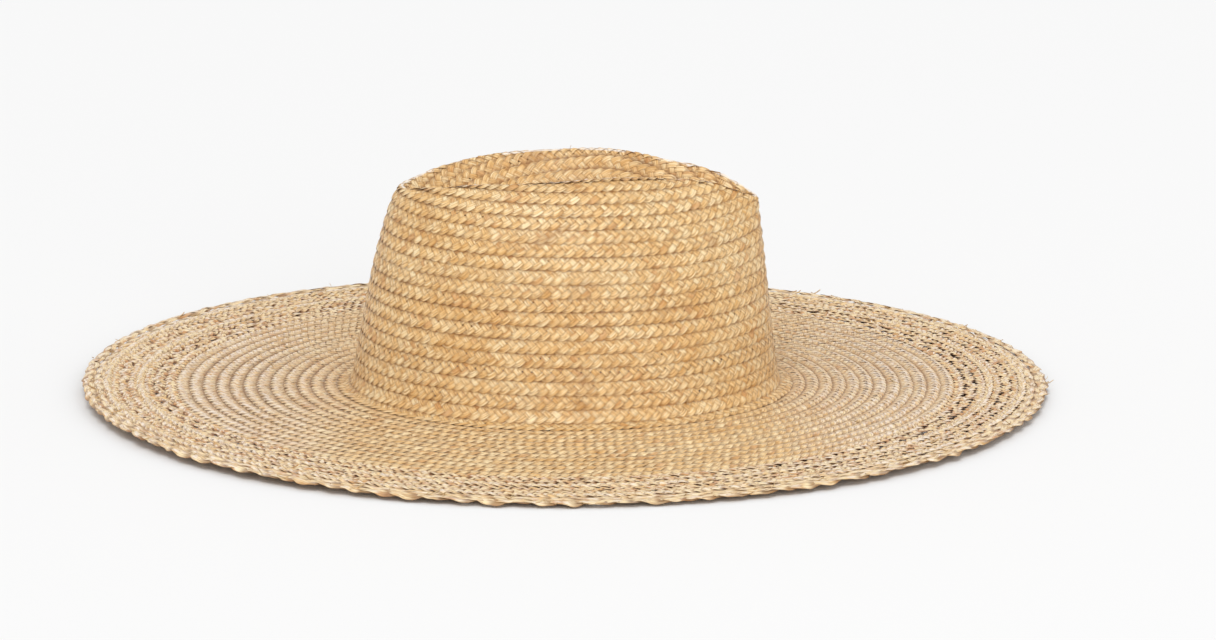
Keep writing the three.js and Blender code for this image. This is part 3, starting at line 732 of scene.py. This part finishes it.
def straw_material(
    name, middle, outline=0.85, stain=0.0, sheen=0.1, pale=0.0, pale_at_ends=0.0, coarse=0.0, fold_highlight=0.0
):
    """Dry raffia: fine fibres along every strip, strips of different tones, and a dry sheen. Middle is the
    straw's place among the tones, outline the strength of its painted shade along strip edges, under other
    strips and under lapping rows, pale and pale_at_ends how much it is painted paler at the hat's middle and
    ends, in patches that are a painted sheen highlight on the rows' crests, coarse the size of its patches,
    and fold_highlight the strength of the painted highlight along the rim's fold."""
    material = bpy.data.materials.new(name)
    material.use_nodes = True
    tree = material.node_tree
    tree.nodes.clear()
    strip_map = add(tree, "ShaderNodeUVMap", uv_map="strip_map").outputs[0]
    place = add(tree, "ShaderNodeSeparateXYZ", {0: strip_map}).outputs
    shade = add(tree, "ShaderNodeAttribute", attribute_name="shade").outputs["Fac"]
    shadow = add(tree, "ShaderNodeAttribute", attribute_name="shadow").outputs["Fac"]
    crest = add(tree, "ShaderNodeAttribute", attribute_name="crest").outputs["Fac"]
    body = add(tree, "ShaderNodeTexCoord").outputs["Object"]

    # Fibres run along the strip: they change fast across it and slowly along it
    fibres = fibre_noise(tree, place, shade, along=150.0, across=2.4, detail=3.0, offset=0.0)
    lengths = fibre_noise(tree, place, shade, along=170.0, across=0.0, detail=1.0, offset=3.0)
    clouds = body_noise(tree, body, CLOUD_SCALE, 3.0)
    tone = calc(tree, "MULTIPLY", shade, STRIP_CONTRAST)
    for noise, contrast in (
        (lengths, PATCH_CONTRAST + coarse),
        (fibres, FIBRE_CONTRAST),
        (clouds, CLOUD_CONTRAST),
    ):
        tone = calc(tree, "ADD", tone, calc(tree, "MULTIPLY", calc(tree, "SUBTRACT", noise, 0.5), contrast))
    tone = calc(tree, "ADD", tone, middle)
    ramp = add(tree, "ShaderNodeValToRGB", {0: tone})
    ramp.color_ramp.elements.remove(ramp.color_ramp.elements[1])
    for i, (at, colour) in enumerate(STRAW_TONES):
        element = ramp.color_ramp.elements[0] if i == 0 else ramp.color_ramp.elements.new(at)
        element.position = at
        element.color = (*colour, 1)
    colour = ramp.outputs[0]

    # A few strips are orange-brown, and the straw is painted paler in patches, more towards the hat's two
    # ends; on the rows' crests the paling is a painted sheen highlight
    spacing = 60.0 + 80.0 * coarse
    orange = fibre_noise(tree, place, shade, along=spacing, across=0.3, detail=0.0, offset=17.0)
    orange = remap(tree, orange, 0.66 - 0.06 * coarse, 0.74 - 0.08 * coarse, 0.0, 0.6 + 0.3 * coarse)
    colour = mix_colour(tree, orange, colour, ORANGE)
    from_side = calc(tree, "ABSOLUTE", add(tree, "ShaderNodeSeparateXYZ", {0: body}).outputs[0])
    paling = remap(tree, from_side, PALER_FROM, PALEST_AT, pale, max(pale, pale_at_ends))
    patches = fibre_noise(tree, place, shade, along=210.0, across=1.2, detail=1.0, offset=23.0)
    patches = remap(tree, patches, 0.4, 0.62, 0.1, 2.0)
    # The pale patches are strongest on a row's crest, where they are a painted sheen highlight
    on_crest = calc(tree, "ADD", calc(tree, "MULTIPLY", crest, 1.7), 0.15)
    patches = calc(tree, "MULTIPLY", patches, on_crest)
    colour = mix_colour(tree, calc(tree, "MULTIPLY", paling, patches, clamp=True), colour, PALE_AND_PAINTED_SHEEN)

    # Thin dark lines lie between the fibres, and painted shade darkens a strip's curled edges, where it goes
    # under another and where the row above laps over it
    hairs = fibre_noise(tree, place, shade, along=90.0, across=1.7, detail=1.0, offset=8.0)
    hairs = remap(tree, calc(tree, "ABSOLUTE", calc(tree, "SUBTRACT", hairs, 0.5)), 0.0, 0.05, 0.7, 0.0)
    # Painted shade along a strip's curled edges
    edge = remap(tree, calc(tree, "ABSOLUTE", place[1]), 0.8 - 0.15 * coarse, 1.0, 0.0, outline)
    colour = mix_colour(tree, calc(tree, "MAXIMUM", edge, hairs), colour, LINE_AND_EDGE_SHADE_BROWN)
    # Painted shade where a strip goes under another and where the row above laps over it
    colour = mix_colour(tree, calc(tree, "MULTIPLY", shadow, outline), colour, PAINTED_SHADE_BROWN)
    # Painted highlight: a pale broken line where the rim's fold catches the light
    if fold_highlight:
        past_fold = add(tree, "ShaderNodeAttribute", attribute_name="past_fold").outputs["Fac"]
        from_line = calc(tree, "ABSOLUTE", calc(tree, "SUBTRACT", past_fold, FOLD_HIGHLIGHT_PLACE))
        on_fold = remap(tree, from_line, FOLD_HIGHLIGHT_HALF_WIDTH * 0.4, FOLD_HIGHLIGHT_HALF_WIDTH, fold_highlight, 0.0)
        highlight_breaks = body_noise(tree, body, HIGHLIGHT_BREAK_SCALE, 1.0)
        on_fold = calc(tree, "MULTIPLY", on_fold, remap(tree, highlight_breaks, 0.46, 0.5, 0.0, 1.0))
        colour = mix_colour(tree, on_fold, colour, FOLD_HIGHLIGHT)
    if stain:
        spots = body_noise(tree, body, SPOT_SCALE, 4.0)
        colour = mix_colour(tree, remap(tree, spots, 0.62, 0.74, 0.0, stain), colour, STAIN)
    rough = remap(tree, fibres, 0.3, 0.7, 0.36, 0.58)
    relief = calc(tree, "SUBTRACT", fibres, calc(tree, "MULTIPLY", hairs, 0.5))
    bump = add(tree, "ShaderNodeBump", {"Strength": 0.8, "Distance": 0.3 * MM, "Height": relief}).outputs[0]
    inputs = {"Base Color": colour, "Roughness": rough, "Normal": bump}
    shader = add(tree, "ShaderNodeBsdfPrincipled", inputs)
    shader.inputs["Sheen Weight"].default_value = sheen
    shader.inputs["Sheen Roughness"].default_value = 0.45
    shader.inputs["Sheen Tint"].default_value = (1.0, 0.95, 0.92, 1)
    shader.inputs["Specular IOR Level"].default_value = 0.5
    add(tree, "ShaderNodeOutputMaterial", {"Surface": shader.outputs[0]})
    return material


# Contrast of the tones between strips, along them, across them and over the hat, and patterns in a metre
STRIP_CONTRAST = 0.22
PATCH_CONTRAST = 1.1
FIBRE_CONTRAST = 1.5
CLOUD_CONTRAST = 0.5
CLOUD_SCALE = 30.0
HIGHLIGHT_BREAK_SCALE = 38.0
SPOT_SCALE = 48.0

# Colours
CREAM = (0.92, 0.74, 0.44)
STRAW = (0.84, 0.575, 0.27)
GOLD = (0.75, 0.45, 0.165)
AMBER = (0.62, 0.32, 0.09)
STRAW_TONES = [(0.12, CREAM), (0.42, STRAW), (0.72, GOLD), (0.95, AMBER)]
ORANGE = (0.60, 0.27, 0.075, 1)
# Pale straw, and the painted sheen highlight on the rows' crests
PALE_AND_PAINTED_SHEEN = (0.93, 0.80, 0.66, 1)
# Brown of the fine lines between fibres, and of the painted shade along strip edges
LINE_AND_EDGE_SHADE_BROWN = (0.40, 0.175, 0.04, 1)
# Brown of the painted shade under other strips and under lapping rows
PAINTED_SHADE_BROWN = (0.22, 0.08, 0.012, 1)
# Painted highlight along the rim's fold
FOLD_HIGHLIGHT = (0.95, 0.86, 0.76, 1)
FOLD_HIGHLIGHT_PLACE = -0.5 * MM  # the painted highlight's middle, past the rim's fold
FOLD_HIGHLIGHT_HALF_WIDTH = 0.9 * MM
STAIN = (0.40, 0.19, 0.06, 1)
PALER_FROM = 95 * MM  # the straw is painted paler from here on towards the hat's two ends
PALEST_AT = 150 * MM

# Plaits
DENSE_REACH = 3.5 * MM
PLAIT_HALF_WIDTH = DENSE_REACH + 0.8 * MM  # a strip's own width goes a little past its reach
DENSE_PLAIT = {
    "Row pitch": ROW_PITCH,
    "Strands": 4,
    "Period": 18 * MM,
    "Steps in a period": 16,
    "Reach": DENSE_REACH,
    "Strip width": 3.1 * MM,
    "Strip thickness": 0.16 * MM,
    "Strip twist": 0.18,
    "Weave height": 0.16 * MM,
    "Tilt": 0.14,
    "Edge curl": 0.36 * MM,
    "Lift": -0.1 * MM,
    "Tucked under": -1.8 * MM,
    "Shade below": 0.6,
    "Row wander": 0.3 * MM,
    "Strand wander": 0.6 * MM,
    "Wave length": 16 * MM,
    "Wave height": 0.0,
}
BRIM_PLAIT = {
    **DENSE_PLAIT,
    "Strip twist": 0.28,
    "Tilt": 0.19,
    "Edge curl": 0.75 * MM,
    "Tucked under": -1.7 * MM,
}
OPEN_PLAIT = {
    **DENSE_PLAIT,
    "Strands": 3,
    "Period": 13.5 * MM,
    "Strip width": 2.9 * MM,
    "Strip thickness": 0.5 * MM,
    "Strip twist": 0.8,
    "Weave height": 0.35 * MM,
    "Tilt": 0.0,
    "Edge curl": 0.0,
    "Lift": -0.3 * MM,
    "Tucked under": NOT_TUCKED,
    "Shade below": 0.95,
    "Strand wander": 0.5 * MM,
}
INNER_OPEN_PLAIT = {**OPEN_PLAIT, "Row pitch": 5.5 * MM, "Reach": 1.8 * MM, "Wave height": 2.2 * MM}
OUTER_OPEN_PLAIT = {**OPEN_PLAIT, "Row pitch": 4.7 * MM, "Reach": 1.55 * MM, "Wave height": 1.9 * MM}
EDGE_PLAIT = {
    **OPEN_PLAIT,
    "Period": 36 * MM,
    "Steps in a period": 40,
    "Row pitch": 5.0 * MM,
    "Reach": 1.3 * MM,
    "Strip width": 3.6 * MM,
    "Strip thickness": 0.4 * MM,
    "Strip twist": 0.4,
    "Weave height": 0.2 * MM,
    "Edge curl": 0.2 * MM,
    "Lift": -0.1 * MM,
    "Strand wander": 1.3 * MM,
    "Wave length": 15 * MM,
    "Wave height": 0.7 * MM,
}
RIDGE_PLAIT = {
    **OPEN_PLAIT,
    "Period": 13 * MM,
    "Reach": 1.3 * MM,
    "Strip width": 2.3 * MM,
    "Strip thickness": 0.9 * MM,
    "Weave height": 0.5 * MM,
    "Strip twist": 1.2,
    "Lift": 0.3 * MM,
    "Strand wander": 0.7 * MM,
}
INNER_FIRST_ROW = 2.3 * MM  # from a band's start to the middle of its first row
OUTER_FIRST_ROW = 2.0 * MM
EDGE_FIRST_ROW = 2.6 * MM
RIDGE_MIDDLE = 1.4 * MM  # from a ridge's middle to its band's end
FIRST_SEED = 11

# Camera of the photograph, from its fit to the brim's outline, in metres, degrees, pixels and millimetres
IMAGE_WIDTH = 1216
IMAGE_HEIGHT = 640
CAMERA_DISTANCE = 2.3
CAMERA_ELEVATION = 15
FOCAL_PIXELS = 4791
ORIGIN_PIXEL = (562, 385)
SENSOR_WIDTH = 36


def make_camera():
    """Camera at the photograph's angle. It looks at the hat's middle on the floor, and its shift puts that
    middle at its own place in the frame."""
    data = bpy.data.cameras.new("camera")
    data.sensor_width = SENSOR_WIDTH
    data.lens = FOCAL_PIXELS / IMAGE_WIDTH * data.sensor_width
    data.shift_x = (IMAGE_WIDTH / 2 - ORIGIN_PIXEL[0]) / IMAGE_WIDTH
    data.shift_y = (ORIGIN_PIXEL[1] - IMAGE_HEIGHT / 2) / IMAGE_WIDTH
    camera = bpy.data.objects.new("camera", data)
    elevation = math.radians(CAMERA_ELEVATION)
    camera.location = (0, -CAMERA_DISTANCE * math.cos(elevation), CAMERA_DISTANCE * math.sin(elevation))
    camera.rotation_euler = (math.pi / 2 - elevation, 0, 0)
    bpy.context.scene.collection.objects.link(camera)
    bpy.context.scene.camera = camera


# Studio
SURROUNDINGS = 0.75
FLOOR_COLOUR = (0.87, 0.87, 0.87)
FLOOR_HALF = 6.0


def soft_light(name, kind, place, size, power):
    """A soft studio light that faces the hat. A sun's size is its angle, and its light is even all over."""
    data = bpy.data.lights.new(name, kind)
    if kind == "SUN":
        data.angle = size
    else:
        data.size = size
    data.energy = power
    light = bpy.data.objects.new(name, data)
    light.location = place
    light.rotation_euler = (-Vector(place)).to_track_quat("-Z", "Y").to_euler()
    bpy.context.scene.collection.objects.link(light)


def make_studio():
    """Pale floor, pale surroundings and soft lights."""
    world = bpy.data.worlds.new("studio")
    world.use_nodes = True
    world.node_tree.nodes["Background"].inputs[0].default_value = (1, 1, 1, 1)
    world.node_tree.nodes["Background"].inputs[1].default_value = SURROUNDINGS
    bpy.context.scene.world = world
    bpy.context.scene.view_settings.view_transform = "Standard"
    mesh = bpy.data.meshes.new("floor")
    signs = ((-1, -1), (1, -1), (1, 1), (-1, 1))
    corners = [(x * FLOOR_HALF, y * FLOOR_HALF, 0) for x, y in signs]
    mesh.from_pydata(corners, [], [(0, 1, 2, 3)])
    floor = bpy.data.objects.new("floor", mesh)
    bpy.context.scene.collection.objects.link(floor)
    paint = bpy.data.materials.new("pale_floor")
    paint.use_nodes = True
    shader = paint.node_tree.nodes["Principled BSDF"]
    shader.inputs["Base Color"].default_value = (*FLOOR_COLOUR, 1)
    shader.inputs["Roughness"].default_value = 1.0
    shader.inputs["Specular IOR Level"].default_value = 0.0
    mesh.materials.append(paint)
    soft_light("key_light", "SUN", place=(-0.2, -1.5, 2.2), size=0.5, power=1.2)
    soft_light("fill_light", "AREA", place=(1.1, -2.7, 0.9), size=1.6, power=12)


# The hat
make_camera()
make_studio()
skin, fold, down, crown_length = lay_skin()
hat_skin = skin_object(skin, fold, down)
skin_inputs = {"Hat skin": hat_skin, "Skin length": float(down[-1])}
tree = plaited_straw_tree()
crown_straw = straw_material("crown_straw", 0.32, stain=0.5, fold_highlight=0.9)
brim_straw = straw_material("brim_straw", 0.24, 0.8, sheen=0.2, pale_at_ends=0.45)
openwork_straw = straw_material("openwork_straw", 0.2, 1.0, sheen=0.2, pale=0.3, pale_at_ends=0.55, coarse=1.0)
ridge_straw = straw_material("ridge_straw", 0.1, 0.6, sheen=0.3, pale=0.5, pale_at_ends=0.8)
edge_straw = straw_material("edge_straw", 0.1, 0.7, sheen=0.2, pale=0.35, pale_at_ends=0.5, coarse=0.6)

crown_rows = round(crown_length / ROW_PITCH)
tip_rows = crown_rows // 2
wall_rows = crown_rows + 1 - tip_rows
near_rows = BRIM_ROWS // 2
far_rows = BRIM_ROWS - 1 - near_rows
to_middle = ROW_PITCH - PLAIT_HALF_WIDTH
wall_start = tip_rows * ROW_PITCH
brim_start = crown_length + ROW_PITCH
far_start = brim_start + near_rows * ROW_PITCH
inner_start = crown_length + DENSE_WIDTH
outer_start = inner_start + INNER_OPENWORK_WIDTH
edge_start = outer_start + OUTER_OPENWORK_WIDTH
inner_first = inner_start + INNER_FIRST_ROW
outer_first = outer_start + OUTER_FIRST_ROW
edge_first = edge_start + EDGE_FIRST_ROW

# Each straw with its slot
crown_look = (crown_straw, "crown_straw")
brim_look = (brim_straw, "brim_straw")
openwork_look = (openwork_straw, "openwork_straw")
ridge_look = (ridge_straw, "openwork_straw")
edge_look = (edge_straw, "edge_straw")

# Name, sizes, rows, place of the first row's middle, straw and slot, node that it replaces
PLAITS = [
    ("crown_tip_plait", DENSE_PLAIT, tip_rows, to_middle, crown_look, "crown"),
    ("crown_wall_plait", DENSE_PLAIT, wall_rows, wall_start + to_middle, crown_look, "crown"),
    ("brim_inner_plait", BRIM_PLAIT, near_rows, brim_start + to_middle, brim_look, "brim"),
    ("brim_outer_plait", BRIM_PLAIT, far_rows, far_start + to_middle, brim_look, "brim"),
    ("openwork_inner_plait", INNER_OPEN_PLAIT, 3, inner_first, openwork_look, "openwork_inner"),
    ("openwork_outer_plait", OUTER_OPEN_PLAIT, 3, outer_first, openwork_look, "openwork_outer"),
    ("edge_plait", EDGE_PLAIT, 2, edge_first, edge_look, "edge_braid"),
    ("openwork_inner_ridge", RIDGE_PLAIT, 1, outer_start - RIDGE_MIDDLE, ridge_look, None),
    ("openwork_outer_ridge", RIDGE_PLAIT, 1, edge_start - RIDGE_MIDDLE, ridge_look, None),
]
for seed, (name, sizes, rows, first_row, (straw, slot), node) in enumerate(PLAITS, FIRST_SEED):
    inputs = {**skin_inputs, **sizes, "Straw": straw, "Rows": rows, "First row": first_row, "Seed": seed}
    plait(name, tree, inputs, node)

loose_inputs = {
    **skin_inputs,
    "Straw": crown_straw,
    "Ends in a square metre": 700.0,
    "Times more at the edge": 18.0,
    "Edge start": edge_start,
    "Edge end": edge_start + EDGE_BRAID_WIDTH - LOOSE_MARGIN,
    "Length": 5 * MM,
    "Width": 0.5 * MM,
    "Thickness": 0.15 * MM,
    "Seed": 31,
}
plait("loose_ends", loose_ends_tree(), loose_inputs, None)
